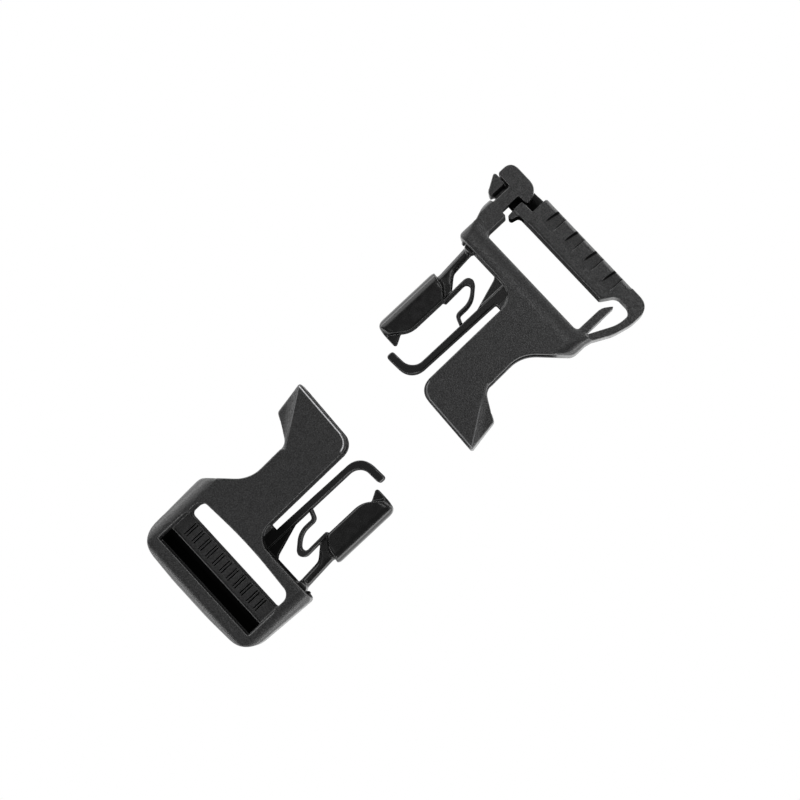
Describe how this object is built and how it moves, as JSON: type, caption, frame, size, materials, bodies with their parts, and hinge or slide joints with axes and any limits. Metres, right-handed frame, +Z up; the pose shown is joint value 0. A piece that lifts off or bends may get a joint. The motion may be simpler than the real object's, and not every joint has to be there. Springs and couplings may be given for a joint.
{
  "type": "side release buckle",
  "caption": "Side release buckle in two interlocking halves, unfastened: a ladder half that adjusts webbing and a split-bar half whose bar swings open.",
  "frame": {"origin": "centre of the whole buckle's box, on the surface that both halves lie on", "axes": "+X from the ladder half to the split-bar half along the fastening direction, +Y across, towards the ladder half's housing arm, +Z up from the surface"},
  "size_m": [0.1102, 0.0422, 0.008],
  "materials": {
    "frame_grained": "fine moulded grain",
    "button_gloss": "smooth gloss",
    "strip_satin": "smooth satin"
  },
  "bodies": {
    "ladder_half": {"ladder_frame": "frame_grained", "ladder_spring": "strip_satin"},
    "ladder_prong": {"ladder_prong": "button_gloss"},
    "split_half": {"split_frame": "frame_grained", "split_loop": "frame_grained", "split_spring": "strip_satin"},
    "split_prong": {"split_prong": "button_gloss"},
    "split_gate": {"split_gate": "frame_grained"}
  },
  "joints": [
    {"name": "fasten_slide", "type": "slide", "parent": "ladder_half", "child": "split_half", "axis": [-1, 0, 0], "range_m": [0, 0.019]},
    {"name": "ladder_release", "type": "hinge", "parent": "ladder_half", "child": "ladder_prong", "pos_m": [-0.03675, -0.01418, 0.004], "axis": [0, 0, 1], "range_deg": [0, 10], "stiffness_Nm_per_rad": 0.1, "deforming": ["ladder_spring"]},
    {"name": "split_release", "type": "hinge", "parent": "split_half", "child": "split_prong", "pos_m": [0.03675, 0.01323, 0.004], "axis": [0, 0, 1], "range_deg": [0, 10], "stiffness_Nm_per_rad": 0.1, "deforming": ["split_spring"]},
    {"name": "gate_swing", "type": "hinge", "parent": "split_half", "child": "split_gate", "pos_m": [0.0525, -0.01963, 0.004], "axis": [-1, 0, 0], "range_deg": [0, 25], "stiffness_Nm_per_rad": 0.1, "deforming": ["split_loop"]}
  ]
}
